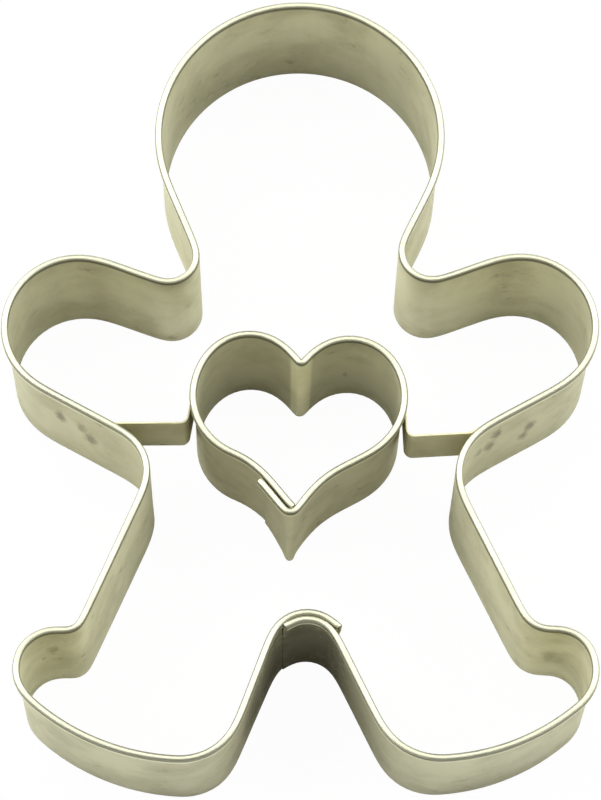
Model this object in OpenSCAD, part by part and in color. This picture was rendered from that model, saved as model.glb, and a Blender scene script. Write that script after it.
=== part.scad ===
// Gingerbread figure cutter with a heart cutter held inside it.
// Two closed bands of thin sheet, each bent from one strip with a folded rim, and two narrow
// brackets welded between them. The cutting edge is at z = 0, the rim at the top, the head at +Y.

/* [Strip] */
// Height of both bands, from the cutting edge to the top of the folded rim
wall_h = 25; // [18:0.5:32]
// Thickness of the sheet that the bands are bent from
sheet = 0.3; // [0.2:0.02:0.36]
// Width across the folded rim, seen from above
rim_w = 1.1; // [0.8:0.05:1.3]
// How far the fold comes down the outside of the band
rim_h = 1.4; // [1:0.1:3]
// Space between the folded rims where a band laps over itself
lap_gap = 0.1; // [0.05:0.01:0.3]

/* [Head and neck] */
// Radius of the head
head_r = 20.8; // [17:0.1:24]
// Width of the neck at its narrowest
neck_w = 29.4; // [25:0.2:33]
// Bend radius between neck and arm
neck_r = 4.8; // [3.5:0.1:6]
// Straight length between the head and the neck bend
neck_run = 9.5; // [7:0.1:13]

/* [Arms] */
// Width across both hands
arm_span = 86.4; // [80:0.2:94]
// Radius of the hand
hand_r = 10.5; // [9:0.1:12]
// Straight length along the top of the arm
arm_run = 8.4; // [6:0.1:11]
// Straight length under the arm, where the brackets are welded
underarm_run = 13.4; // [12:0.1:17]

/* [Waist and legs] */
// Width of the waist at its narrowest
waist_w = 44.4; // [41:0.2:48]
// Bend radius of the waist
waist_r = 8.1; // [6.5:0.1:10]
// Straight length down the outside of the leg
leg_run = 17.9; // [14:0.1:22]
// Distance from the middle to the bend centre at the ankle
ankle_x = 37; // [35:0.1:39]
// Bend radius above the foot
ankle_r = 7.5; // [6:0.1:9]
// Bend radius between the legs
crotch_r = 5; // [4:0.1:6]
// How far the crotch stands to the right of the middle
crotch_shift = 0.7; // [-1.5:0.1:1.5]
// Height of the crotch above the sole
crotch_rise = 20.6; // [16:0.1:25]
// Length over which the two ends of the band lap, on top of the crotch
crotch_lap = 8.6; // [6:0.1:10.5]

/* [Feet] */
// Width across both feet
foot_span = 82.4; // [79:0.2:86]
// Radius of the outer end of the foot
toe_r = 5.8; // [5:0.1:7]
// Radius of the long curve under the foot
sole_r = 32; // [26:0.5:45]
// Distance from the middle to the lowest point of the foot
heel_x = 17.8; // [16:0.1:20]
// Radius of the inner end of the foot
heel_r = 7.9; // [6.5:0.1:9.5]
// How far the heel's centre lies below the toe's centre
heel_drop = 4.8; // [3.5:0.1:6.5]

/* [Heart] */
// Width of the heart
heart_w = 30.4; // [28:0.1:32]
// Height of the heart, from the top of its lobes to its tip
heart_h = 26.5; // [24.5:0.1:28.5]
// Radius of the top of each lobe
lobe_r = 7.3; // [6.8:0.1:7.8]
// Radius of the side of the heart, under the lobe
cheek_r = 9.7; // [9.2:0.1:10.4]
// Radius of the hollow curve that runs down to the tip
flank_r = 14.5; // [12:0.5:18]
// Bend radius in the notch
notch_r = 1; // [0.8:0.1:1.4]
// Bend radius at the tip
tip_r = 1; // [0.7:0.1:1.5]
// How far the heart stands to the left of the middle
heart_shift = 0.54; // [-1.5:0.02:1.5]
// How far the heart is turned clockwise
heart_turn = 3.4; // [-6:0.2:6]
// Height of the heart's middle above the lower end of the straight under the arm
heart_rise = 5; // [4:0.1:6.5]
// Length over which the two ends of the heart's band lap, on its left flank
heart_lap = 4.8; // [3.5:0.1:8]

/* [Brackets] */
// Height of the bracket strips
bracket_h = 9.5; // [6:0.1:12]
// Thickness of the bracket strips
bracket_sheet = 0.3; // [0.2:0.02:0.5]
// Space between the folded rim and the bracket below it
bracket_drop = 1.2; // [0.2:0.1:2]
// Bend radius in the middle of the bracket's sheet
bracket_bend_r = 1.15; // [0.8:0.05:1.8]
// How far the left bracket stands off the heart's widest point by the time it bends
left_flare = 0.6; // [0:0.05:0.8]
// How far the right bracket stands off the heart's widest point by the time it bends
right_flare = 0.2; // [0:0.05:0.8]
// Left bracket's place above the lower end of the straight under the arm
left_rise = 1.4; // [0.6:0.1:2.4]
// Right bracket's place above the lower end of the straight under the arm
right_rise = -0.7; // [-1.2:0.1:1]
// Length of the tab that is welded to the heart
heart_tab = 4; // [2.5:0.1:6]
// Distance from the end of the tab under the arm to the bend of the hand
arm_tab_inset = 2; // [1:0.1:5]
// Space left in a welded lap
weld_gap = 0.03; // [0.02:0.01:0.1]

/* [Hidden] */
band_colour = [0.69, 0.67, 0.54];
heart_colour = [0.62, 0.6, 0.46];
bracket_colour = [0.52, 0.5, 0.38];
// Turning direction of a bend, going clockwise round a band with its inside on the right
LEFT = 1;
RIGHT = -1;
// Largest distance between a bend and the flats that stand for it
band_flat = 0.04;
bracket_flat = 0.005;
// Two places closer than this count as one
same = 0.01;
// Distance between the middles of the two layers of a lap, at the rim
lap_step = rim_w + lap_gap;
// How far the wall of a lap is pressed sideways to lie against the other one
press = lap_step - sheet - weld_gap;
// Height over which the wall bends across by that much
press_depth = 5;
// Depth of the step in the wall just below the fold
fold_foot = 0.6;
// Short straights between bends that nearly touch
ankle_run = 0.5;
notch_run = 1.4;
cheek_run = 1.5;
tip_run = 0.6;
// Flats round the folded rim
fold_flats = 4;
// How far the heart's strip reaches round its tip before the left flank, in degrees
tip_hook = 9;
// Direction, seen from the cheek's centre, where the lobe takes over from the cheek
lobe_at = 40;

// ---- Bends and the straights between them ----
// A bend is [centre, radius, turn]. Where a lap is pressed sideways against the layer beside it,
// two more values say how far, at the bend's start and at its end.

// Distance between the centres of two bends that turn opposite ways, with a straight between them
function apart(r1, r2, run) = sqrt(run * run + (r1 + r2) * (r1 + r2));

// The point at distance d1 from a and d2 from b, on the left-hand side going from a to b
function meet(a, d1, b, d2) =
    let (
        d = norm(b - a),
        along = (d1 * d1 - d2 * d2 + d * d) / (2 * d),
        aside = sqrt(max(0, d1 * d1 - along * along)),
        u = (b - a) / d
    )
    a + along * u + aside * [-u.y, u.x];

// Direction of the straight from one bend to the next
function run_angle(a, b) =
    let (
        ab = b[0] - a[0],
        rise = (b[2] * b[1] - a[2] * a[1]) / norm(ab)
    )
    atan2(ab.y, ab.x) - asin(max(-1, min(1, rise)));

function heading(t) = [cos(t), sin(t)];
function left_of(t) = [-sin(t), cos(t)];

// The point of a bend where the strip points in direction t
function on_bend(bend, t) = bend[0] - bend[2] * bend[1] * left_of(t);

// Direction t2 brought within one turn of t1, on the side that the bend turns to
function onward(t1, t2, turn) =
    let (gap = (t2 - t1) * turn)
    t1 + turn * (gap - 360 * floor(gap / 360));

// Stations [point, direction, press] round one bend, close enough for the given flat
function round_bend(bend, t1, t2, flat) =
    let (
        last = onward(t1, t2, bend[2]),
        step = 2 * acos(1 - flat / bend[1]),
        n = max(1, ceil(abs(last - t1) / step)),
        press_in = len(bend) > 3 ? bend[3] : 0,
        press_out = len(bend) > 3 ? bend[4] : 0
    )
    [
        for (i = [0 : n])
            let (t = t1 + (last - t1) * i / n)
            [on_bend(bend, t), t, press_in + (press_out - press_in) * i / n]
    ];

// Drops a station that repeats the place of the one before it
function thinned(path) =
    [for (i = [0 : len(path) - 1]) if (i == 0 || norm(path[i][0] - path[i - 1][0]) > same) path[i]];

// Stations of a strip that starts in direction `first`, passes every bend and ends in `last`
function strip_path(bends, first, last, flat) =
    let (
        n = len(bends),
        runs = [for (i = [0 : n - 2]) run_angle(bends[i], bends[i + 1])],
        ins = concat([first], runs),
        outs = concat(runs, [last])
    )
    thinned([for (i = [0 : n - 1]) each round_bend(bends[i], ins[i], outs[i], flat)]);

function mirrored(bend) = [[-bend[0].x, bend[0].y], bend[1], bend[2]];
function reversed(list) = [for (i = [len(list) - 1 : -1 : 0]) list[i]];

// ---- Outline of the figure, right half, from the head down, with the head's centre as zero ----

neck_x = neck_w / 2 + neck_r;
neck_y = -sqrt(pow(apart(head_r, neck_r, neck_run), 2) - pow(neck_x, 2));
hand_x = arm_span / 2 - hand_r;
hand_y = neck_y - sqrt(pow(apart(neck_r, hand_r, arm_run), 2) - pow(hand_x - neck_x, 2));
waist_x = waist_w / 2 + waist_r;
waist_y = hand_y - sqrt(pow(apart(hand_r, waist_r, underarm_run), 2) - pow(waist_x - hand_x, 2));
ankle_y = waist_y - sqrt(pow(leg_run, 2) + pow(waist_r - ankle_r, 2) - pow(ankle_x - waist_x, 2));
toe_x = foot_span / 2 - toe_r;
toe_y = ankle_y - sqrt(pow(apart(ankle_r, toe_r, ankle_run), 2) - pow(ankle_x - toe_x, 2));
heel_y = toe_y - heel_drop;
sole_y = heel_y - heel_r;
crotch_y = sole_y + crotch_rise - crotch_r;
// The outline is moved so that its middle lies over the zero
mid_y = (head_r + sole_y) / 2;

head = [[0, -mid_y], head_r, RIGHT];
neck = [[neck_x, neck_y - mid_y], neck_r, LEFT];
hand = [[hand_x, hand_y - mid_y], hand_r, RIGHT];
waist = [[waist_x, waist_y - mid_y], waist_r, LEFT];
ankle = [[ankle_x, ankle_y - mid_y], ankle_r, LEFT];
toe = [[toe_x, toe_y - mid_y], toe_r, RIGHT];
heel = [[heel_x, heel_y - mid_y], heel_r, RIGHT];
sole = [meet(heel[0], sole_r - heel_r, toe[0], sole_r - toe_r), sole_r, RIGHT];
crotch_c = [crotch_shift, crotch_y - mid_y];
// The lap's inner layer is pressed outwards below the rim, against the outer layer
crotch_inner = [crotch_c, crotch_r + lap_step, LEFT, press, press];
crotch_outer = [crotch_c, crotch_r, LEFT];
right_side = [neck, hand, waist, ankle, toe, sole, heel];
left_side = [for (b = reversed(right_side)) mirrored(b)];

// The strip starts right of the crotch, as the inner layer, and ends left of it, as the outer one
lap_half = crotch_lap / crotch_r * 90 / PI;
body_bends = concat([crotch_inner], left_side, [head], right_side, [crotch_outer]);
body_path = strip_path(body_bends, 180 - lap_half, 180 + lap_half, band_flat);

// ---- Outline of the heart, with the height of its cheeks' centres as zero ----

cheek_x = heart_w / 2 - cheek_r;
cheek = [[cheek_x, 0], cheek_r, RIGHT];
lobe = [cheek[0] + (cheek_r - lobe_r) * heading(lobe_at), lobe_r, RIGHT];
notch_y = lobe[0].y + sqrt(pow(apart(lobe_r, notch_r, notch_run), 2) - pow(lobe[0].x, 2));
notch = [[0, notch_y], notch_r, LEFT];
tip_y = lobe[0].y + lobe_r - heart_h + tip_r;
tip = [[0, tip_y], tip_r, RIGHT];
flank_c = meet(cheek[0], apart(cheek_r, flank_r, cheek_run), tip[0], apart(tip_r, flank_r, tip_run));
flank = [flank_c, flank_r, LEFT];
// The outer layer of the lap passes the tip and follows the left flank one step further out
tip_exit = run_angle(tip, mirrored(flank));
tip_outer = [tip[0] + lap_step * left_of(tip_exit), tip_r, RIGHT];
flank_outer = [mirrored(flank)[0], flank_r - lap_step, LEFT, 0, -press];
heart_right = [lobe, cheek, flank];
heart_left = [for (b = reversed(heart_right)) mirrored(b)];
heart_bends = concat([tip], heart_left, [notch], heart_right, [tip_outer, flank_outer]);
heart_end = tip_exit + heart_lap / flank_outer[1] * 180 / PI;
heart_path = strip_path(heart_bends, tip_exit + tip_hook, heart_end, band_flat);

// ---- Where the heart and the brackets sit, from the straight under the arm ----

under_t = run_angle(hand, waist);
under_low = on_bend(waist, under_t);
heart_y = under_low.y + heart_rise;

// A point of the heart's own outline, where the heart is in the body
function in_body(p) =
    [-heart_shift, heart_y] + [p.x * cos(heart_turn) + p.y * sin(heart_turn),
                               p.y * cos(heart_turn) - p.x * sin(heart_turn)];

// Distance from the middle of a band's sheet to the middle of a bracket's sheet where they lap
lap_off = sheet / 2 + weld_gap + bracket_sheet / 2;
bracket_top = wall_h - rim_h - bracket_drop;

// Path of a bracket on the right: down the heart's cheek, across, and up under the arm.
// side is -1 for the left bracket, which is worked out mirrored
function bracket_path(side, rise, flare) =
    let (
        cheek_at = in_body([side * cheek_x, 0]),
        c = [side * cheek_at.x, cheek_at.y],
        follow_r = cheek_r + lap_off,
        y = under_low.y + rise + bracket_bend_r,
        x = c.x + follow_r + flare + bracket_bend_r,
        follow = [c, follow_r, RIGHT],
        heart_bend = [[x, y], bracket_bend_r, LEFT],
        first = run_angle(follow, heart_bend) + heart_tab / follow_r * 180 / PI,
        up_t = under_t + 180,
        seat = under_low + lap_off * left_of(up_t),
        seat_c = seat + bracket_bend_r * left_of(up_t),
        along = (y - seat_c.y) / sin(up_t),
        arm_bend = [seat_c + along * heading(up_t), bracket_bend_r, LEFT],
        end = seat + (underarm_run - arm_tab_inset) * heading(up_t)
    )
    concat(
        strip_path([follow, heart_bend, arm_bend], first, up_t, bracket_flat),
        [[end, up_t, 0]]
    );

// ---- Solids ----

// Section of a band, as [distance to the left, height, share of the press]: the sheet comes up
// the inside of the band, folds over at the rim and comes down the outside
fold_u = (rim_w - sheet) / 2;
fold_z = wall_h - rim_w / 2;
fold_low = wall_h - rim_h;
press_top = fold_low - fold_foot;
press_low = press_top - press_depth;

// One face of the sheet, from its cutting edge to its folded end, starting at distance u
function sheet_face(u) =
    let (r = fold_u - u, turns = [for (i = [0 : fold_flats]) 180 - 180 * i / fold_flats])
    concat(
        [[u, 0, 1], [u, press_low, 1], [u, press_top, 0]],
        [for (a = turns) [fold_u + r * cos(a), fold_z + r * sin(a), 0]],
        [[fold_u + r, fold_low, 0]]
    );
band_section = concat(sheet_face(-sheet / 2), reversed(sheet_face(sheet / 2)));

// A band: its section carried along its path, with each end closed by a strip across the sheet
module band(path) {
    m = len(band_section);
    last = (len(path) - 1) * m;
    points = [
        for (s = path, q = band_section)
            let (p = s[0] + (q.x + q.z * s[2]) * left_of(s[1]))
            [p.x, p.y, q.y]
    ];
    sides = [
        for (i = [0 : len(path) - 2], j = [0 : m - 1])
            let (a = i * m + j, b = i * m + (j + 1) % m)
            [a, b, b + m, a + m]
    ];
    across = [for (j = [0 : m / 2 - 2]) [j, m - 1 - j, m - 2 - j, j + 1]];
    end_cap = [for (f = across) [for (v = reversed(f)) last + v]];
    polyhedron(points, concat(across, sides, end_cap));
}

module outer_band() {
    color(band_colour) band(body_path);
}

module heart_band() {
    color(heart_colour)
        translate([-heart_shift, heart_y, 0])
            rotate(-heart_turn)
                band(heart_path);
}

// A plain strip on edge along its path
module bracket(side, rise, flare) {
    path = bracket_path(side, rise, flare);
    half = bracket_sheet / 2;
    edge = [for (s = path) s[0] + half * left_of(s[1])];
    back = [for (s = reversed(path)) s[0] - half * left_of(s[1])];
    color(bracket_colour)
        mirror([side < 0 ? 1 : 0, 0, 0])
            translate([0, 0, bracket_top - bracket_h])
                linear_extrude(bracket_h)
                    polygon(concat(edge, back));
}

module left_bracket() {
    bracket(-1, left_rise, left_flare);
}

module right_bracket() {
    bracket(1, right_rise, right_flare);
}

outer_band();
heart_band();
left_bracket();
right_bracket();
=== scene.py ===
"""Gingerbread figure cutter with a heart cutter held inside it, bent from strips of tinned steel."""

from math import asin, atan2, ceil, cos, pi, radians, sin, sqrt, tau

import bmesh
import bpy
from bpy.props import FloatProperty, FloatVectorProperty, IntProperty, PointerProperty
from mathutils import Matrix, Vector


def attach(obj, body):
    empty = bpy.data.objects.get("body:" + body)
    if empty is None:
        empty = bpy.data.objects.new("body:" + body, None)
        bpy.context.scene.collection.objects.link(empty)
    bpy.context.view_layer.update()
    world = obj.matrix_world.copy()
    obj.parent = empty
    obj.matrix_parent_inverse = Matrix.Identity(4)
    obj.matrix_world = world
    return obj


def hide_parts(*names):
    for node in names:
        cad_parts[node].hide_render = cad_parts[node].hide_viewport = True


bl_info = {
    "name": "Figure cutter with heart",
    "version": (1, 0, 0),
    "blender": (4, 5, 0),
    "location": "View3D > Sidebar > Cutter",
    "description": "Bends a gingerbread figure cutter and its inner heart from strips of tinned steel",
    "category": "Object",
}

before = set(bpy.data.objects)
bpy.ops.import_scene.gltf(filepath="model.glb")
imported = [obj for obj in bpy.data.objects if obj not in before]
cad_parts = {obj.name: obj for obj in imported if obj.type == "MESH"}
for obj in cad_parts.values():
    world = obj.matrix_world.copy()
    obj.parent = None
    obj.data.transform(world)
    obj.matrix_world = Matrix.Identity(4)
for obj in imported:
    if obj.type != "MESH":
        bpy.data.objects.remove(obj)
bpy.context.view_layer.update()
# A strip is followed clockwise round its band, so the inside is on the right
LEFT, RIGHT = 1, -1


def length(name, description, default):
    """A size in metres, shown in the scene's own unit."""
    return FloatProperty(name=name, description=description, default=default, unit="LENGTH", precision=5)


def angle(name, description, degrees):
    return FloatProperty(name=name, description=description, default=radians(degrees), subtype="ANGLE")


def slope(name, description, default):
    """A length per length, which has no unit."""
    return FloatProperty(name=name, description=description, default=default)


def circle(name, default):
    """A bend, as the x and y of its centre and its radius."""
    return FloatVectorProperty(
        name=name,
        description=f"Centre and radius of the bend at the {name.lower()}, in the middle of the sheet",
        default=default,
        size=3,
        unit="LENGTH",
        precision=5,
    )


def tint(name, description, default):
    return FloatVectorProperty(
        name=name, description=description, default=default, size=3, subtype="COLOR", min=0, max=1
    )


def lamp_power(name, description, default):
    return FloatProperty(name=name, description=description, default=default, min=0, unit="POWER")


class StripSizes(bpy.types.PropertyGroup):
    """Sizes of the strip that both bands are bent from"""

    wall_height: length("Wall height", "From the cutting edge to the top of the rim", 0.025)
    sheet: length("Sheet", "Thickness of the tinned sheet", 0.0003)
    rim_width: length("Rim width", "Width across the folded rim", 0.00105)
    rim_height: length("Rim height", "How far the fold comes down the outside", 0.0014)
    station: length("Station", "Longest step along a straight or a wide bend", 0.0011)
    press_depth: length("Press depth", "Height over which a lapped wall is pressed across", 0.005)
    fold_foot: length("Fold foot", "Depth of the step just below the fold", 0.0006)
    hand_warp: length("Warp", "How far the bent sheet wanders from its true line", 0.00014)
    easing: IntProperty(
        name="Easing", description="How softly a bend runs out into a straight", default=5, min=0
    )


class FigureBends(bpy.types.PropertyGroup):
    """Bends of the outer band, each side as it was bent"""

    head: circle("Head", (0.0, 0.037411, 0.020833))
    right_neck: circle("Right neck", (0.019385, 0.018487, 0.00495))
    right_hand: circle("Right hand", (0.03242, 0.00672, 0.010587))
    right_waist: circle("Right waist", (0.031215, -0.016299, 0.009042))
    right_ankle: circle("Right ankle", (0.0352, -0.0356, 0.0045))
    right_toe_top: circle("Right toe top", (0.03641, -0.04468, 0.00465))
    right_toe: circle("Right toe", (0.03526, -0.045659, 0.006121))
    right_heel: circle("Right heel", (0.018906, -0.049457, 0.008772))
    right_sole: length("Right sole", "Radius of the long curve under the right foot", 0.031562)
    left_neck: circle("Left neck", (-0.019589, 0.018, 0.004604))
    left_hand: circle("Left hand", (-0.032954, 0.007001, 0.0105))
    left_waist: circle("Left waist", (-0.029307, -0.015412, 0.007184))
    left_ankle: circle("Left ankle", (-0.0342, -0.03695, 0.0029))
    left_toe_top: circle("Left toe top", (-0.03585, -0.04475, 0.00505))
    left_toe: circle("Left toe", (-0.035496, -0.045048, 0.005505))
    left_heel: circle("Left heel", (-0.017188, -0.050451, 0.007656))
    left_sole: length("Left sole", "Radius of the long curve under the left foot", 0.033344)
    crotch: circle("Crotch", (0.000402, -0.042509, 0.00504))
    lap: length("Crotch lap", "Length over which the ends of the band lap", 0.0086)
    lap_step: length("Crotch lap step", "Between the middles of the lap's layers, at the rim", 0.001)
    lap_turn: angle("Lap turn", "How far the lap lies to the right", 6)
    lean: length("Lean", "How far the cutting edge lies towards the head from the rim", 0.0003)
    skew: slope("Skew", "How much further it lies so, per metre to the right", 0.004)


class HeartBends(bpy.types.PropertyGroup):
    """Bends of the heart as it was bent, in its own upright frame"""

    notch: circle("Notch", (0.000113, 0.0055, 0.001))
    right_lobe: circle("Right lobe", (0.007414, 0.001452, 0.007333))
    right_cheek: circle("Right cheek", (0.005564, -0.000013, 0.009693))
    right_flank: circle("Right flank", (0.013813, -0.022978, 0.014298))
    tip: circle("Tip", (-0.000331, -0.01687, 0.0009))
    left_flank: circle("Left flank", (-0.013929, -0.022339, 0.014115))
    left_cheek: circle("Left cheek", (-0.005815, -0.000463, 0.009401))
    left_lobe: circle("Left lobe", (-0.007281, 0.00154, 0.007206))
    place: FloatVectorProperty(
        name="Place",
        description="Where the heart's own zero lies in the figure",
        default=(-0.00054, -0.00377),
        size=2,
        unit="LENGTH",
        precision=5,
    )
    turn: angle("Turn", "How far the heart is turned clockwise", 3.4)
    lap: length("Heart lap", "From the tip to the end of the outer layer", 0.0056)
    lap_step: length("Heart lap step", "Between the middles of the lap's layers, at the rim", 0.0012)
    hook: angle("Hook", "How far the strip reaches round the tip", 30)
    point: length("Point", "How far the tip is drawn out below the stiff rim", 0.00095)
    lean: length("Lean", "How far the cutting edge lies towards the head from the rim", 0.0007)
    skew: slope("Skew", "How much further it lies so, per metre to the right", 0.018)


class BracketSizes(bpy.types.PropertyGroup):
    """Sizes of the two strips between the heart and the underarms"""

    height: length("Height", "Height of a bracket strip", 0.0102)
    top: length("Top", "Height of its upper edge above the cutting edge", 0.0226)
    sheet: length("Sheet", "Thickness of a bracket strip", 0.0003)
    bend: length("Bend", "Bend radius in the middle of the sheet", 0.00115)
    weld_gap: length("Weld gap", "Space left in a welded lap", 0.00003)
    heart_tab: length("Heart tab", "Length of the tab on the heart", 0.004)
    tab_inset: length("Tab inset", "From the end of the tab under the arm to the bend of the hand", 0.002)
    left_rise: length("Left rise", "Left bracket above the lower end of the underarm", 0.0017)
    right_rise: length("Right rise", "Right bracket above the lower end of the underarm", -0.0009)
    left_flare: length("Left flare", "How far the left bracket stands off the heart at its bend", 0.0006)
    right_flare: length("Right flare", "How far the right bracket stands off the heart at its bend", 0.0002)
    right_drop: length("Right drop", "How much lower the right bracket meets the heart than the arm", 0.0004)


class TinFinish(bpy.types.PropertyGroup):
    """Colours and gloss of the tinned sheet"""

    wall: tint("Wall", "Tin on the outside", (0.575, 0.55, 0.38))
    # Painted light: the inside is a lighter copy of the wall's tin that brightens the inner walls
    inside: tint("Inside", "Tin on the inside, rubbed clean by dough", (0.655, 0.635, 0.46))
    # The rim's paler tin is polish by use, and partly a painted highlight
    rim: tint("Rim", "Tin on the rim, polished by use", (0.6, 0.59, 0.45))
    patina: tint("Patina", "Dull oxide in patches", (0.33, 0.3, 0.2))
    # The stain colour also paints the shade line under the rim
    stain_and_shade: tint("Stain", "Burnt tin round a weld and in smudges", (0.12, 0.11, 0.08))
    gloss: FloatProperty(
        name="Roughness", description="Roughness of clean tin", default=0.56, min=0, max=1, subtype="FACTOR"
    )


class StageSizes(bpy.types.PropertyGroup):
    """Floor, light and camera"""

    floor: length("Floor", "Width of the floor", 5.0)
    floor_tint: tint("Floor", "Colour of the floor", (0.75, 0.75, 0.75))
    overhead: lamp_power("Overhead", "Power of the wide lamp overhead", 7.5)
    key: lamp_power("Key", "Power of the softbox on the left", 41.0)
    fill: lamp_power("Fill", "Power of the softbox on the right", 35.0)
    room: FloatProperty(
        name="Room light", description="Strength of the light from above", default=0.12, min=0
    )
    camera: FloatVectorProperty(
        name="Camera",
        description="Place of the camera",
        default=(-0.006, -0.199318, 0.575139),
        size=3,
        unit="LENGTH",
        precision=5,
    )
    lens: FloatProperty(name="Lens", description="Focal length of the camera", default=180.0, unit="CAMERA")


# ---- Path of a strip: bends and the straights between them ----


def left_of(heading):
    return Vector((-sin(heading), cos(heading), 0))


def ahead(heading):
    return Vector((cos(heading), sin(heading), 0))


def bend(values, turn, press=(0.0, 0.0)):
    """A bend of the strip. press says how far its wall is pushed to the left, at its start and its end.

    point says how far its cutting edge is drawn out in the middle of the bend, and only the heart's tip
    has one.
    """
    x, y, radius = values
    return {"centre": Vector((x, y, 0)), "radius": radius, "turn": turn, "press": press, "point": 0.0}


def run_heading(a, b):
    """Heading of the straight from one bend to the next."""
    across = b["centre"] - a["centre"]
    rise = (b["turn"] * b["radius"] - a["turn"] * a["radius"]) / across.length
    return atan2(across.y, across.x) - asin(max(-1, min(1, rise)))


def on_bend(b, heading):
    """The point of a bend where the strip points along heading."""
    return b["centre"] - b["turn"] * b["radius"] * left_of(heading)


def sweep_of(b, start, end):
    """Signed angle from one heading to the other, round the bend."""
    return b["turn"] * (((end - start) * b["turn"]) % tau)


def belly(toe, heel, radius):
    """The wide curve that the toe and the heel touch from inside, bulging down."""
    a, b = Vector(toe[:2]), Vector(heel[:2])
    span = b - a
    d1, d2 = radius - toe[2], radius - heel[2]
    along = (d1 * d1 - d2 * d2 + span.length_squared) / (2 * span.length)
    aside = sqrt(d1 * d1 - along * along)
    u = span.normalized()
    side = Vector((-u.y, u.x)) if u.x > 0 else Vector((u.y, -u.x))
    centre = a + along * u + aside * side
    return centre.x, centre.y, radius


def figure_path(f):
    """The outer band, from the inner layer of the lap, right of the crotch, round to the outer layer."""
    sheet = bpy.context.scene.strip_sizes.sheet
    press = f.lap_step - sheet - bpy.context.scene.bracket_sizes.weld_gap
    x, y, radius = f.crotch
    lap_half = f.lap / radius / 2
    bends = [bend((x, y, radius + f.lap_step), LEFT, (press, press))]
    parts = ("neck", "hand", "waist", "ankle", "toe_top", "toe", "sole", "heel")
    for side in ("left", "right"):
        one = {k: getattr(f, f"{side}_{k}") for k in parts}
        order = [
            bend(one["neck"], LEFT),
            bend(one["hand"], RIGHT),
            bend(one["waist"], LEFT),
            bend(one["ankle"], LEFT),
            bend(one["toe_top"], RIGHT),
            bend(one["toe"], RIGHT),
            bend(belly(one["toe"], one["heel"], one["sole"]), RIGHT),
            bend(one["heel"], RIGHT),
        ]
        bends += reversed(order) if side == "left" else [bend(f.head, RIGHT)] + order
    bends.append(bend(f.crotch, LEFT))
    return bends, pi - f.lap_turn - lap_half, pi - f.lap_turn + lap_half


def in_figure(h, x, y):
    """A point of the heart's own frame, where the heart is in the figure."""
    px, py = h.place
    c, s = cos(h.turn), sin(h.turn)
    return px + x * c + y * s, py + y * c - x * s


def heart_path(h):
    """The heart, from just past its tip up the left flank, over both lobes and back to the lap."""
    sheet = bpy.context.scene.strip_sizes.sheet
    press = h.lap_step - sheet - bpy.context.scene.bracket_sizes.weld_gap

    def placed(values, turn):
        x, y = in_figure(h, values[0], values[1])
        return bend((x, y, values[2]), turn)

    tip, flank = placed(h.tip, RIGHT), placed(h.left_flank, LEFT)
    outer_flank = {**flank, "radius": flank["radius"] - h.lap_step, "press": (-press, -press)}
    tip_exit = run_heading(tip, outer_flank)
    straight = (on_bend(outer_flank, tip_exit) - on_bend(tip, tip_exit)).length
    inner_tip = {**tip, "centre": tip["centre"] - h.lap_step * left_of(tip_exit)}
    bends = [
        inner_tip,
        flank,
        placed(h.left_cheek, RIGHT),
        placed(h.left_lobe, RIGHT),
        placed(h.notch, LEFT),
        placed(h.right_lobe, RIGHT),
        placed(h.right_cheek, RIGHT),
        placed(h.right_flank, LEFT),
        {**tip, "point": h.point},
        outer_flank,
    ]
    return bends, tip_exit + h.hook, tip_exit + (h.lap - straight) / outer_flank["radius"]


def bracket_path(side):
    """A bracket: down the heart's cheek, across, and up under the arm, and its last straight's length."""
    scene = bpy.context.scene
    sizes, f, h = scene.bracket_sizes, scene.figure_bends, scene.heart_bends
    rise, flare = (sizes.right_rise, sizes.right_flare) if side > 0 else (sizes.left_rise, sizes.left_flare)
    name = "right" if side > 0 else "left"
    hand, waist = getattr(f, f"{name}_hand"), getattr(f, f"{name}_waist")
    # Both brackets are worked out on the right
    hand, waist = (side * hand[0], hand[1], hand[2]), (side * waist[0], waist[1], waist[2])
    tab = getattr(h, f"{name}_cheek")
    x, y = in_figure(h, tab[0], tab[1])
    cheek = Vector((side * x, y, 0))
    off = scene.strip_sizes.sheet / 2 + sizes.weld_gap + sizes.sheet / 2
    under = run_heading(bend(hand, RIGHT), bend(waist, LEFT))
    under_low = on_bend(bend(waist, LEFT), under)
    underarm = (on_bend(bend(hand, RIGHT), under) - under_low).length
    up = under + pi
    level = under_low.y + rise + sizes.bend
    follow = bend((cheek.x, cheek.y, tab[2] + off), RIGHT)
    drop = sizes.right_drop if side > 0 else 0.0
    heart_bend = bend((cheek.x + follow["radius"] + flare + sizes.bend, level - drop, sizes.bend), LEFT)
    first = run_heading(follow, heart_bend) + sizes.heart_tab / follow["radius"]
    seat = under_low + off * left_of(up)
    seat_centre = seat + sizes.bend * left_of(up)
    centre = seat_centre + (level - seat_centre.y) / sin(up) * ahead(up)
    arm_bend = bend((centre.x, centre.y, sizes.bend), LEFT)
    end = seat + (underarm - sizes.tab_inset) * ahead(up)
    last_run = (end - on_bend(arm_bend, up)).length
    return [follow, heart_bend, arm_bend], first, up, last_run


# ---- Modelling ----

# How finely a sheet is divided, from the cutting edge over the fold to the end of the strip
WALL_STEPS, PRESS_STEPS, FOLD_STEPS, HEM_STEPS = 8, 5, 10, 2
BRACKET_STEPS = 6
TURN_STEP = radians(9)
# Sizes of the slow waves that a sheet wanders in, and of its cut edges
WARP_WAVES = {"X": 0.026, "Y": 0.031}
EDGE_ROUNDING = 0.00006
ROUNDED_FROM, SMOOTH_UP_TO = radians(55), radians(40)
# Moves and runs shorter than these are left out
NO_MOVE, NO_RUN = 1e-7, 1e-6


def deselect():
    if bpy.context.object and bpy.context.object.mode != "OBJECT":
        bpy.ops.object.mode_set(mode="OBJECT")
    bpy.ops.object.select_all(action="DESELECT")


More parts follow.
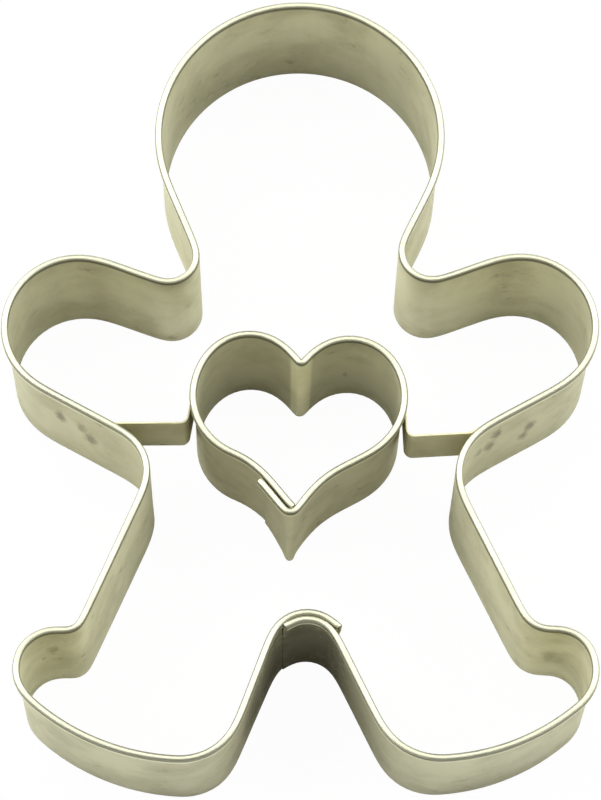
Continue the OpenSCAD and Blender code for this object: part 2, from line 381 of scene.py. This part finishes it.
def first_point(name, place):
    """Adds a small plane and draws it together to one point, which is left selected in edit mode."""
    deselect()
    bpy.ops.mesh.primitive_plane_add(size=0.001, location=(0, 0, 0))
    piece = bpy.context.object
    piece.name = piece.data.name = name
    bpy.ops.object.mode_set(mode="EDIT")
    bpy.ops.mesh.select_all(action="SELECT")
    bpy.ops.mesh.merge(type="CENTER")
    bpy.ops.transform.translate(value=place)
    bm = bmesh.from_edit_mesh(piece.data)
    bm.verts.layers.float.new("along")
    return piece


def pull(offset):
    """Extrudes what is selected by offset."""
    bpy.ops.mesh.extrude_region_move(TRANSFORM_OT_translate={"value": offset})


def edited():
    """The mesh in edit mode and its selected points."""
    bm = bmesh.from_edit_mesh(bpy.context.object.data)
    return bm, [v for v in bm.verts if v.select]


def mark_length(total):
    """Writes on the newest section how far along the strip it stands."""
    bm, section = edited()
    layer = bm.verts.layers.float["along"]
    for v in section:
        v[layer] = total


def move_levels(offset, share_at):
    """Moves each level of the selected points by its share of offset, and selects all of them again."""
    bm, section = edited()
    for level in sorted({round(v.co.z, 5) for v in section}):
        share = share_at(level)
        if share * offset.length < NO_MOVE:
            continue
        for v in section:
            v.select = abs(v.co.z - level) < 2e-5
        bm.select_flush_mode()
        bpy.ops.transform.translate(value=share * offset)
    for v in section:
        v.select = True
    bm.select_flush_mode()


def push_wall(offset, heading):
    """Moves the wall of the newest section to the left, fully below the press and not at all above it."""
    strip = bpy.context.scene.strip_sizes
    top = strip.wall_height - strip.rim_height - strip.fold_foot

    def share_at(level):
        share = max(0, min(1, (top - level) / strip.press_depth))
        return share * share * (3 - 2 * share)

    if abs(offset) > NO_MOVE:
        move_levels(offset * left_of(heading), share_at)


def draw_out(offset, heading):
    """Moves the cutting edge of the newest section to the left, and less and less of the wall above it."""
    strip = bpy.context.scene.strip_sizes
    top = strip.wall_height - strip.rim_height - strip.fold_foot
    if abs(offset) > NO_MOVE:
        move_levels(offset * left_of(heading), lambda level: max(0, 1 - level / top))


def lean(offset, skew):
    """Leans the drawn sheet towards the head, most on the right: the cutting edge moves and the rim stays."""
    height = bpy.context.scene.strip_sizes.wall_height
    for v in bmesh.from_edit_mesh(bpy.context.object.data).verts:
        v.co.y += (1 - v.co.z / height) * (offset + skew * v.co.x)


def ease_bends(passes):
    """Lets each bend run out softly: every point moves towards its two neighbours along the strip."""
    bm = bmesh.from_edit_mesh(bpy.context.object.data)
    layer = bm.verts.layers.float["along"]
    beside = {v: [e.other_vert(v) for e in v.link_edges] for v in bm.verts}
    beside = {v: [o for o in others if abs(o[layer] - v[layer]) > 1e-6] for v, others in beside.items()}
    for _ in range(passes):
        middle = {v: (pair[0].co + pair[1].co) / 2 for v, pair in beside.items() if len(pair) == 2}
        for v, co in middle.items():
            v.co = (v.co + co) / 2


def draw_section(name, place, heading):
    """Stands the section of a band on its place: up the wall, over the fold and down the outside."""
    strip = bpy.context.scene.strip_sizes
    piece = first_point(name, place)
    fold = (strip.rim_width - strip.sheet) / 2
    fold_z = strip.wall_height - strip.rim_width / 2
    press_top = strip.wall_height - strip.rim_height - strip.fold_foot
    press_low = press_top - strip.press_depth
    for _ in range(WALL_STEPS):
        pull((0, 0, press_low / WALL_STEPS))
    for _ in range(PRESS_STEPS):
        pull((0, 0, strip.press_depth / PRESS_STEPS))
    pull((0, 0, fold_z - press_top))
    centre = place + fold * left_of(heading)
    centre.z = fold_z
    bpy.ops.mesh.spin(
        steps=FOLD_STEPS, angle=pi, center=centre, axis=ahead(heading), use_auto_merge=False
    )
    for _ in range(HEM_STEPS):
        pull((0, 0, -(fold_z - strip.wall_height + strip.rim_height) / HEM_STEPS))
    bpy.ops.mesh.select_all(action="SELECT")
    return piece


def draw_strip_edge(name, place, low, high):
    """Stands the section of a plain strip on its place."""
    piece = first_point(name, place + Vector((0, 0, low)))
    for _ in range(BRACKET_STEPS):
        pull((0, 0, (high - low) / BRACKET_STEPS))
    bpy.ops.mesh.select_all(action="SELECT")
    return piece


def bulge(share):
    """Rises from 0 to 1 in the middle of a bend and falls to 0 again."""
    return sin(pi * share) ** 2


def carry(bends, first, last, last_run=0.0):
    """Carries the standing section along its path: spun round each bend, pulled along each straight."""
    station = bpy.context.scene.strip_sizes.station
    total = 0.0
    push_wall(bends[0]["press"][0], first)
    for i, b in enumerate(bends):
        start = first if i == 0 else run_heading(bends[i - 1], b)
        end = last if i == len(bends) - 1 else run_heading(b, bends[i + 1])
        sweep = sweep_of(b, start, end)
        if abs(sweep) > tau - 0.001:
            sweep = 0.0
        steps = max(ceil(abs(sweep) * b["radius"] / station), ceil(abs(sweep) / TURN_STEP), 1)
        press_step = (b["press"][1] - b["press"][0]) / steps
        for k in range(steps):
            bpy.ops.mesh.spin(
                steps=1, angle=-sweep / steps, center=b["centre"], axis=(0, 0, 1), use_auto_merge=False
            )
            total += abs(sweep) * b["radius"] / steps
            mark_length(total)
            heading = start + sweep * (k + 1) / steps
            push_wall(press_step, heading)
            draw_out(b["point"] * (bulge((k + 1) / steps) - bulge(k / steps)), heading)
        if i + 1 < len(bends):
            run = on_bend(bends[i + 1], end) - on_bend(b, end)
            fade = b["press"][1] - bends[i + 1]["press"][0]
        else:
            run, fade = last_run * ahead(end), 0.0
        if run.length < NO_RUN:
            continue
        steps = max(ceil(run.length / station), 1)
        for k in range(steps):
            pull(run / steps)
            total += run.length / steps
            mark_length(total)
            push_wall(-fade / steps, end)


def finish_sheet(piece, sheet, finishes, node):
    """Gives the drawn surface its warp, its thickness, its rounded cut edges and the finish of each face."""
    bpy.ops.mesh.select_all(action="SELECT")
    bpy.ops.mesh.normals_make_consistent(inside=True)
    bpy.ops.object.mode_set(mode="OBJECT")
    for axis, wave in WARP_WAVES.items():
        noise = bpy.data.textures.new(f"hand bend {axis}", "CLOUDS")
        noise.noise_scale, noise.noise_depth = wave, 0
        shift = piece.modifiers.new(f"Warp {axis}", "DISPLACE")
        shift.texture, shift.direction, shift.texture_coords = noise, axis, "LOCAL"
        shift.strength, shift.mid_level = bpy.context.scene.strip_sizes.hand_warp, 0.5
        bpy.ops.object.modifier_apply(modifier=shift.name)
    piece.data.materials.clear()
    for finish in finishes:
        piece.data.materials.append(finish)
    wall = piece.modifiers.new("Sheet", "SOLIDIFY")
    wall.thickness, wall.offset, wall.use_even_offset = sheet, 0, True
    wall.material_offset = len(finishes) - 1
    bpy.ops.object.modifier_apply(modifier=wall.name)
    edge = piece.modifiers.new("Cut edges", "BEVEL")
    edge.width, edge.segments = EDGE_ROUNDING, 2
    edge.limit_method, edge.angle_limit = "ANGLE", ROUNDED_FROM
    bpy.ops.object.modifier_apply(modifier=edge.name)
    bpy.ops.object.shade_smooth_by_angle(angle=SMOOTH_UP_TO)
    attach(piece, "root")
    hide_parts(node)
    return piece


# ---- Finishes ----


class Nodes:
    """Places nodes in a tree and links them."""

    def __init__(self, tree):
        self.tree = tree

    def add(self, kind, inputs=None, **settings):
        node = self.tree.nodes.new(kind)
        for key, value in settings.items():
            setattr(node, key, value)
        for key, value in (inputs or {}).items():
            if isinstance(value, bpy.types.NodeSocket):
                self.tree.links.new(value, node.inputs[key])
            else:
                node.inputs[key].default_value = value
        return node

    def math(self, operation, a, b=0.5, c=0.0, clamp=False):
        node = self.add("ShaderNodeMath", {0: a, 1: b, 2: c}, operation=operation, use_clamp=clamp)
        return node.outputs[0]

    def ramp(self, value, low, high, out_low=0.0, out_high=1.0):
        """A smooth step from low to high."""
        inputs = {"Value": value, "From Min": low, "From Max": high, "To Min": out_low, "To Max": out_high}
        return self.add("ShaderNodeMapRange", inputs, interpolation_type="SMOOTHSTEP").outputs["Result"]

    def noise(self, vector, scale, detail=2.0, roughness=0.5):
        inputs = {"Vector": vector, "Scale": scale, "Detail": detail, "Roughness": roughness}
        return self.add("ShaderNodeTexNoise", inputs).outputs["Fac"]

    def mix(self, factor, a, b, blend="MIX"):
        node = self.add("ShaderNodeMix", data_type="RGBA", blend_type=blend)
        for key, value in (("Factor", factor), ("A", a), ("B", b)):
            socket = next(s for s in node.inputs if s.name == key and s.enabled)
            if isinstance(value, bpy.types.NodeSocket):
                self.tree.links.new(value, socket)
            else:
                socket.default_value = value
        return next(s for s in node.outputs if s.enabled)


def new_group(name, inputs, outputs):
    """An empty shader node group with named sockets."""
    tree = bpy.data.node_groups.new(name, "ShaderNodeTree")
    for label, kind, default in inputs:
        socket = tree.interface.new_socket(label, in_out="INPUT", socket_type=kind)
        if default is not None:
            socket.default_value = default
    for label, kind in outputs:
        tree.interface.new_socket(label, in_out="OUTPUT", socket_type=kind)
    nodes = Nodes(tree)
    return tree, nodes, nodes.add("NodeGroupInput").outputs, nodes.add("NodeGroupOutput")


FLOAT, VECTOR = "NodeSocketFloat", "NodeSocketVector"


def rolled_sheet_group():
    """Fine rolling lines and broad soft bands, on (length along the strip, 0, height)."""
    if "Rolled sheet" in bpy.data.node_groups:
        return bpy.data.node_groups["Rolled sheet"]
    tree, n, given, out = new_group(
        "Rolled sheet",
        [("Strip", VECTOR, None), ("Grain Size", FLOAT, 1.0)],
        [("Grain", FLOAT), ("Bands", FLOAT), ("Ripple", FLOAT)],
    )
    grain_at = n.add("ShaderNodeMapping", {"Vector": given["Strip"], "Scale": (60, 1, 2600)}).outputs[0]
    band_at = n.add("ShaderNodeMapping", {"Vector": given["Strip"], "Scale": (190, 1, 16)}).outputs[0]
    ripple_at = n.add("ShaderNodeMapping", {"Vector": given["Strip"], "Scale": (330, 1, 60)}).outputs[0]
    tree.links.new(n.noise(grain_at, given["Grain Size"], 3.0, 0.6), out.inputs["Grain"])
    tree.links.new(n.noise(band_at, 1.0, 2.0, 0.45), out.inputs["Bands"])
    tree.links.new(n.noise(ripple_at, 1.0, 1.0, 0.4), out.inputs["Ripple"])
    return tree


def mottle_group():
    """Cloudy tin oxide, rubbed smudges and a few dark specks, on object coordinates."""
    if "Mottled tin" in bpy.data.node_groups:
        return bpy.data.node_groups["Mottled tin"]
    tree, n, given, out = new_group(
        "Mottled tin",
        [("Place", VECTOR, None), ("Patch Scale", FLOAT, 110.0)],
        [("Patches", FLOAT), ("Smudges", FLOAT), ("Specks", FLOAT)],
    )
    cloud = n.noise(given["Place"], given["Patch Scale"], 4.0, 0.6)
    rubbed = n.noise(given["Place"], n.math("MULTIPLY", given["Patch Scale"], 3.1), 3.0, 0.7)
    tree.links.new(n.ramp(cloud, 0.34, 0.72), out.inputs["Patches"])
    smudges = n.math("MULTIPLY", n.ramp(rubbed, 0.56, 0.74), n.ramp(cloud, 0.45, 0.65))
    tree.links.new(smudges, out.inputs["Smudges"])
    cells = n.add("ShaderNodeTexVoronoi", {"Vector": given["Place"], "Scale": 260.0}, feature="F1")
    rare = n.noise(given["Place"], 90.0, 1.0)
    specks = n.math("MULTIPLY", n.ramp(cells.outputs["Distance"], 0.12, 0.05), n.ramp(rare, 0.6, 0.66))
    tree.links.new(specks, out.inputs["Specks"])
    return tree


def spot_group():
    """A soft dark spot at one place, ragged and taller than wide, as a spot weld or a smudge leaves; big ones
    also serve as painted shade.
    """
    if "Weld spot" in bpy.data.node_groups:
        return bpy.data.node_groups["Weld spot"]
    tree, n, given, out = new_group(
        "Weld spot",
        [
            ("Place", VECTOR, None),
            ("Centre", VECTOR, None),
            ("Radius", FLOAT, 0.001),
            ("Strength", FLOAT, 0.5),
            ("Total", FLOAT, 0.0),
        ],
        [("Burn", FLOAT), ("Dent", FLOAT)],
    )
    ends = {0: given["Place"], 1: given["Centre"]}
    off = n.add("ShaderNodeVectorMath", ends, operation="SUBTRACT").outputs[0]
    off = n.add("ShaderNodeVectorMath", {0: off, 1: (1, 1, 0.45)}, operation="MULTIPLY").outputs[0]
    away = n.add("ShaderNodeVectorMath", {0: off}, operation="LENGTH").outputs["Value"]
    ragged = n.math("MULTIPLY_ADD", n.noise(given["Place"], 1300.0, 2.0), 1.5, 0.35)
    share = n.math("DIVIDE", away, n.math("MULTIPLY", given["Radius"], ragged))
    spot = n.ramp(share, 1.3, 0.3)
    burn_and_shade = n.math("MAXIMUM", n.math("MULTIPLY", spot, given["Strength"]), given["Total"])
    tree.links.new(burn_and_shade, out.inputs["Burn"])
    tree.links.new(n.ramp(share, 0.9, 0.2), out.inputs["Dent"])
    return tree


def colour(value):
    return (*value, 1.0)


# Where the finish changes, as depths below the top of the rim: the start of the painted shade line under the
# rim, the rim's foot and its crest
SHADE_UNDER_RIM_FOOT, RIM_FOOT, RIM_CREST = 0.001, 0.0004, 0.00003


def tinplate(name, tin, spots, shade=1.0, foot=1.0, painted_highlight_bend=None):
    """Tinned sheet: cloudy wall, bright rim, rolling lines, smudges, the burns of spot welds, painted shade
    and painted highlights.

    tin is the wall's colour, and shade darkens it and the oxide on it as painted shade. spots holds the
    place, the radius
    and the darkness of each mark: weld burns, smudges and painted shade. foot is how much of its brightness
    the wall keeps at the cutting edge, painted shade there and painted light towards the rim, and the last
    argument, when given, is the x, y and radius of a sharp bend where a painted highlight brightens the tin.
    """
    if name in bpy.data.materials:
        return bpy.data.materials[name]
    finish, strip = bpy.context.scene.tin_finish, bpy.context.scene.strip_sizes
    material = bpy.data.materials.new(name)
    material.use_nodes = True
    tree = material.node_tree
    n = Nodes(tree)
    shader = tree.nodes["Principled BSDF"]
    place = n.add("ShaderNodeTexCoord").outputs["Object"]
    height = n.add("ShaderNodeSeparateXYZ", {0: place}).outputs["Z"]
    along = n.add("ShaderNodeAttribute", attribute_name="along").outputs["Fac"]
    on_strip = n.add("ShaderNodeCombineXYZ", {"X": along, "Z": height}).outputs[0]
    rolled = n.add("ShaderNodeGroup", {"Strip": on_strip}, node_tree=rolled_sheet_group())
    mottled = n.add("ShaderNodeGroup", {"Place": place}, node_tree=mottle_group())

    burn_and_shade, dent = 0.0, 0.0
    for centre, radius, strength in spots:
        given = {"Place": place, "Centre": centre, "Radius": radius, "Strength": strength, "Total": burn_and_shade}
        spot = n.add("ShaderNodeGroup", given, node_tree=spot_group())
        burn_and_shade = spot.outputs["Burn"]
        here = spot.outputs["Dent"]
        dent = here if isinstance(dent, float) else n.math("MAXIMUM", dent, here)

    # A shade below 1 paints shade over the whole wall and its oxide, as on the heart
    wall = [v * shade for v in tin]
    patches = n.math("MULTIPLY", mottled.outputs["Patches"], 0.28)
    base = n.mix(patches, colour(wall), colour(v * shade for v in finish.patina))
    lift = n.ramp(rolled.outputs["Bands"], 0.25, 0.75, 0.97, 1.04)
    # Painted shade: darker towards the cutting edge and lighter towards the rim, as far as foot says
    lift = n.math("MULTIPLY", lift, n.ramp(height, 0.0, strip.wall_height, foot, 2 - foot))
    # Painted highlight: the tin round one sharp bend is made brighter
    if painted_highlight_bend:
        x, y, radius = painted_highlight_bend
        flat = n.add("ShaderNodeVectorMath", {0: place, 1: (1, 1, 0)}, operation="MULTIPLY").outputs[0]
        away = n.add("ShaderNodeVectorMath", {0: flat, 1: (x, y, 0)}, operation="DISTANCE").outputs["Value"]
        lift = n.math("MULTIPLY", lift, n.ramp(away, 1.9 * radius, 1.2 * radius, 1.0, 1.45))
    lifted = n.add("ShaderNodeCombineColor", {0: lift, 1: lift, 2: lift}).outputs[0]
    base = n.mix(1.0, base, lifted, "MULTIPLY")
    on_rim = n.ramp(height, strip.wall_height - RIM_FOOT, strip.wall_height - RIM_CREST)
    # Painted shade: a dark line just below the rim's crest, in the stain colour
    shade_under_rim = n.ramp(height, strip.wall_height - SHADE_UNDER_RIM_FOOT, strip.wall_height - RIM_FOOT)
    base = n.mix(n.math("MULTIPLY", shade_under_rim, 0.8), base, colour(finish.stain_and_shade))
    # The rim's crest is paler: tin polished by use, and partly a painted highlight
    base = n.mix(on_rim, base, colour(finish.rim))
    dirt_and_shade = n.math("MULTIPLY", mottled.outputs["Smudges"], 0.35)
    dirt_and_shade = n.math("MAXIMUM", dirt_and_shade, n.math("MULTIPLY", mottled.outputs["Specks"], 0.4))
    # Some spots are painted shade, such as the big ones in the crotch
    if spots:
        dirt_and_shade = n.math("MAXIMUM", dirt_and_shade, burn_and_shade)
    dirt_and_shade = n.math("MULTIPLY", dirt_and_shade, n.math("SUBTRACT", 1.0, on_rim))
    base = n.mix(dirt_and_shade, base, colour(finish.stain_and_shade))
    tree.links.new(base, shader.inputs["Base Color"])

    rough = n.ramp(mottled.outputs["Patches"], 0.0, 1.0, finish.gloss - 0.04, finish.gloss + 0.1)
    rough = n.math("MULTIPLY_ADD", rolled.outputs["Grain"], 0.08, rough)
    rough = n.math("MULTIPLY_ADD", on_rim, -0.1, rough)
    tree.links.new(n.math("MULTIPLY_ADD", dirt_and_shade, 0.3, rough), shader.inputs["Roughness"])

    relief = n.math("MULTIPLY", rolled.outputs["Grain"], 0.015)
    relief = n.math("MULTIPLY_ADD", rolled.outputs["Ripple"], 0.22, relief)
    relief = n.math("MULTIPLY_ADD", mottled.outputs["Patches"], 0.05, relief)
    if spots:
        relief = n.math("MULTIPLY_ADD", dent, -0.6, relief)
    bump = n.add("ShaderNodeBump", {"Height": relief, "Strength": 0.55, "Distance": 0.0002})
    tree.links.new(bump.outputs["Normal"], shader.inputs["Normal"])
    shader.inputs["Metallic"].default_value = 1.0
    return material


# Marks on the tin, as place, radius and how dark they are
ARM_WELDS = [
    ((-0.0358, -0.0037, 0.0145), 0.0009, 0.5),
    ((-0.0326, -0.0054, 0.0142), 0.0009, 0.35),
    ((-0.0315, -0.0061, 0.0112), 0.0011, 0.5),
    ((-0.0298, -0.0071, 0.0215), 0.0007, 0.3),
    ((0.0288, -0.0075, 0.0165), 0.0009, 0.5),
    ((0.0279, -0.008, 0.0124), 0.001, 0.45),
    ((0.0262, -0.0089, 0.0125), 0.0008, 0.3),
    ((0.0333, -0.0051, 0.0085), 0.0009, 0.5),
    ((0.0341, -0.0046, 0.0117), 0.001, 0.5),
]
# Painted shade: big dark spots in the crotch and down the left leg's wall between the legs, over the burnt
# tin of the lap's weld
CROTCH_SHADE_AND_BURNS = [
    ((0.0, -0.0375, 0.012), 0.0075, 0.7),
    ((-0.0046, -0.0415, 0.011), 0.006, 0.68),
    ((-0.0075, -0.046, 0.01), 0.0045, 0.6),
]
INSIDE_SMUDGES = [
    ((0.03595, -0.03985, 0.0115), 0.0012, 0.2),
    ((0.0374, -0.0397, 0.0095), 0.001, 0.14),
    ((0.0323, -0.0377, 0.002), 0.0008, 0.35),
    ((-0.0364, -0.0398, 0.0165), 0.0009, 0.25),
    ((-0.0194, 0.0424, 0.014), 0.0005, 0.4),
]
HEART_WELDS = [((-0.0061, -0.0175, 0.012), 0.0006, 0.5)]
HEART_SPECKS = [((0.0066, 0.00525, 0.0095), 0.0006, 0.6)]
BRACKET_WELDS = [((-0.0325, -0.0048, 0.0175), 0.0009, 0.5), ((0.0315, -0.0052, 0.0175), 0.0009, 0.5)]


class CUTTER_OT_outer_band(bpy.types.Operator):
    """Bends the figure's outer band from one strip with a folded rim"""

    bl_idname = "cutter.outer_band"
    bl_label = "Bend outer band"

    def execute(self, context):
        bends, first, last = figure_path(context.scene.figure_bends)
        piece = draw_section("outer_band_sheet", on_bend(bends[0], first), first)
        carry(bends, first, last)
        ease_bends(context.scene.strip_sizes.easing)
        lean(context.scene.figure_bends.lean, context.scene.figure_bends.skew)
        tin = context.scene.tin_finish
        faces = (
            tinplate("Tinplate, outer band", tin.wall, ARM_WELDS + CROTCH_SHADE_AND_BURNS),
            # The inside faces take the lighter tin as painted light, and darken towards the cutting edge as
            # painted shade
            tinplate("Tinplate, inside of the outer band", tin.inside, INSIDE_SMUDGES, 1.0, 0.88),
        )
        finish_sheet(piece, context.scene.strip_sizes.sheet, faces, "outer_band")
        return {"FINISHED"}


class CUTTER_OT_heart_band(bpy.types.Operator):
    """Bends the inner heart from a second strip"""

    bl_idname = "cutter.heart_band"
    bl_label = "Bend heart band"

    def execute(self, context):
        h, tin = context.scene.heart_bends, context.scene.tin_finish
        bends, first, last = heart_path(h)
        piece = draw_section("heart_band_sheet", on_bend(bends[0], first), first)
        carry(bends, first, last)
        ease_bends(context.scene.strip_sizes.easing)
        lean(h.lean, h.skew)
        # The notch gets a painted highlight on the heart's inside
        notch = (*in_figure(h, h.notch[0], h.notch[1]), h.notch[2])
        faces = (
            # The heart is a darker copy of the same tin, as painted shade; its inside takes the lighter tin,
            # as painted light
            tinplate("Tinplate, heart", tin.wall, HEART_WELDS, 0.9),
            tinplate("Tinplate, inside of the heart", tin.inside, HEART_SPECKS, 0.9, 0.78, notch),
        )
        finish_sheet(piece, context.scene.strip_sizes.sheet, faces, "heart_band")
        return {"FINISHED"}


class CUTTER_OT_brackets(bpy.types.Operator):
    """Bends the two plain strips that hold the heart under the arms"""

    bl_idname = "cutter.brackets"
    bl_label = "Bend brackets"

    def execute(self, context):
        sizes = context.scene.bracket_sizes
        for side, name in ((-1, "left"), (1, "right")):
            bends, first, last, last_run = bracket_path(side)
            piece = draw_strip_edge(
                f"{name}_bracket_strip", on_bend(bends[0], first), sizes.top - sizes.height, sizes.top
            )
            carry(bends, first, last, last_run)
            if side < 0:
                bpy.ops.mesh.select_all(action="SELECT")
                bpy.ops.transform.resize(value=(-1, 1, 1), center_override=(0, 0, 0))
            lean(context.scene.figure_bends.lean, context.scene.figure_bends.skew)
            faces = [tinplate("Tinplate, brackets", context.scene.tin_finish.wall, BRACKET_WELDS)]
            finish_sheet(piece, sizes.sheet, faces, f"{name}_bracket")
        return {"FINISHED"}


WARM, COOL = (1.0, 0.97, 0.82), (0.95, 0.99, 1.0)
# Lamps, as name, place, width, the size that holds the power, and colour
LAMPS = (
    ("overhead_lamp", (0, 0.35, 1.15), 1.6, "overhead", WARM),
    ("key_lamp", (-1.05, 0.42, 0.95), 1.9, "key", COOL),
    ("fill_lamp", (1.1, 0.4, 0.95), 1.9, "fill", COOL),
)
# The camera's right, up and back
CAMERA_AXES = ((0.99994, -0.00798, 0.00759), (0.005, 0.94281, 0.3333), (-0.00982, -0.33325, 0.94279))
# How far the floor looks white to the camera, and how much whiter in reflections
FLOOR_SEEN, FLOOR_MIRRORED = 0.97, 0.05
# Directions, as heights on the unit sphere, between which the room's light grows, and its share below
ROOM_LOW, ROOM_HIGH, ROOM_BELOW = 0.1, 0.6, 0.1


class CUTTER_OT_stage(bpy.types.Operator):
    """Sets the pale floor, the soft light and the camera"""

    bl_idname = "cutter.stage"
    bl_label = "Set stage"

    def execute(self, context):
        scene, sizes = context.scene, context.scene.stage_sizes
        deselect()
        bpy.ops.mesh.primitive_plane_add(size=sizes.floor, location=(0, 0, -0.00002))
        floor = context.object
        floor.name = "floor"
        floor.data.materials.append(self.floor_material(sizes))

        for name, place, width, power, light in LAMPS:
            aim = Vector(place).to_track_quat("Z", "Y").to_euler()
            bpy.ops.object.light_add(type="AREA", location=place, rotation=aim)
            lamp = context.object
            lamp.name = name
            lamp.data.shape, lamp.data.size = "SQUARE", width
            lamp.data.energy, lamp.data.color = getattr(sizes, power), light

        world = scene.world or bpy.data.worlds.new("room")
        scene.world = world
        world.use_nodes = True
        world.node_tree.nodes.clear()
        n = Nodes(world.node_tree)
        seen = n.add("ShaderNodeLightPath").outputs["Is Camera Ray"]
        towards = n.add("ShaderNodeTexCoord").outputs["Generated"]
        upward = n.add("ShaderNodeSeparateXYZ", {0: towards}).outputs["Z"]
        glow = n.ramp(upward, ROOM_LOW, ROOM_HIGH, ROOM_BELOW * sizes.room, sizes.room)
        dim = n.add("ShaderNodeBackground", {"Color": (1, 1, 1, 1), "Strength": glow}).outputs[0]
        white = n.add("ShaderNodeBackground", {"Color": (1, 1, 1, 1), "Strength": 1.0}).outputs[0]
        shown = n.add("ShaderNodeMixShader", {0: seen, 1: dim, 2: white}).outputs[0]
        n.add("ShaderNodeOutputWorld", {"Surface": shown})

        bpy.ops.object.camera_add(location=sizes.camera)
        camera = context.object
        camera.name = "camera"
        camera.data.lens, camera.data.sensor_width, camera.data.sensor_fit = sizes.lens, 36, "AUTO"
        camera.data.clip_start, camera.data.clip_end = 0.01, 20
        turned = Matrix(CAMERA_AXES).transposed().to_4x4()
        camera.matrix_world = Matrix.Translation(sizes.camera) @ turned
        scene.camera = camera
        scene.view_settings.view_transform = "Standard"
        return {"FINISHED"}

    def floor_material(self, sizes):
        """Pale floor, seen nearly white by the camera and by the metal, that keeps some of the shadow."""
        material = bpy.data.materials.new("Pale floor")
        material.use_nodes = True
        tree = material.node_tree
        tree.nodes.clear()
        n = Nodes(tree)
        path = n.add("ShaderNodeLightPath").outputs
        mirrored = n.math("MAXIMUM", path["Is Glossy Ray"], path["Is Transmission Ray"])
        seen = n.math("MULTIPLY", path["Is Camera Ray"], FLOOR_SEEN)
        seen = n.math("MULTIPLY_ADD", mirrored, FLOOR_MIRRORED, seen, clamp=True)
        lit = n.add("ShaderNodeBsdfDiffuse", {"Color": colour(sizes.floor_tint)}).outputs[0]
        white = n.add("ShaderNodeEmission", {"Color": (1, 1, 1, 1), "Strength": 1.0}).outputs[0]
        shown = n.add("ShaderNodeMixShader", {0: seen, 1: lit, 2: white}).outputs[0]
        n.add("ShaderNodeOutputMaterial", {"Surface": shown})
        return material


class CUTTER_PT_panel(bpy.types.Panel):
    """Lists the cutter's pieces and sizes"""

    bl_label = "Figure cutter"
    bl_idname = "CUTTER_PT_panel"
    bl_space_type = "VIEW_3D"
    bl_region_type = "UI"
    bl_category = "Cutter"

    def draw(self, context):
        layout = self.layout
        for operator in OPERATORS:
            layout.operator(operator.bl_idname)
        for name, kind in SIZES.items():
            box = layout.box()
            box.label(text=kind.__doc__)
            values = getattr(context.scene, name)
            for key in kind.__annotations__:
                box.prop(values, key)


SIZES = {
    "strip_sizes": StripSizes,
    "figure_bends": FigureBends,
    "heart_bends": HeartBends,
    "bracket_sizes": BracketSizes,
    "tin_finish": TinFinish,
    "stage_sizes": StageSizes,
}
OPERATORS = (CUTTER_OT_outer_band, CUTTER_OT_heart_band, CUTTER_OT_brackets, CUTTER_OT_stage)
CLASSES = (*SIZES.values(), *OPERATORS, CUTTER_PT_panel)


def register():
    for cls in CLASSES:
        bpy.utils.register_class(cls)
    for name, kind in SIZES.items():
        setattr(bpy.types.Scene, name, PointerProperty(type=kind))


def unregister():
    for name in SIZES:
        delattr(bpy.types.Scene, name)
    for cls in reversed(CLASSES):
        bpy.utils.unregister_class(cls)


def main():
    register()
    bpy.ops.cutter.outer_band()
    bpy.ops.cutter.heart_band()
    bpy.ops.cutter.brackets()
    bpy.ops.cutter.stage()


if __name__ == "__main__":
    main()
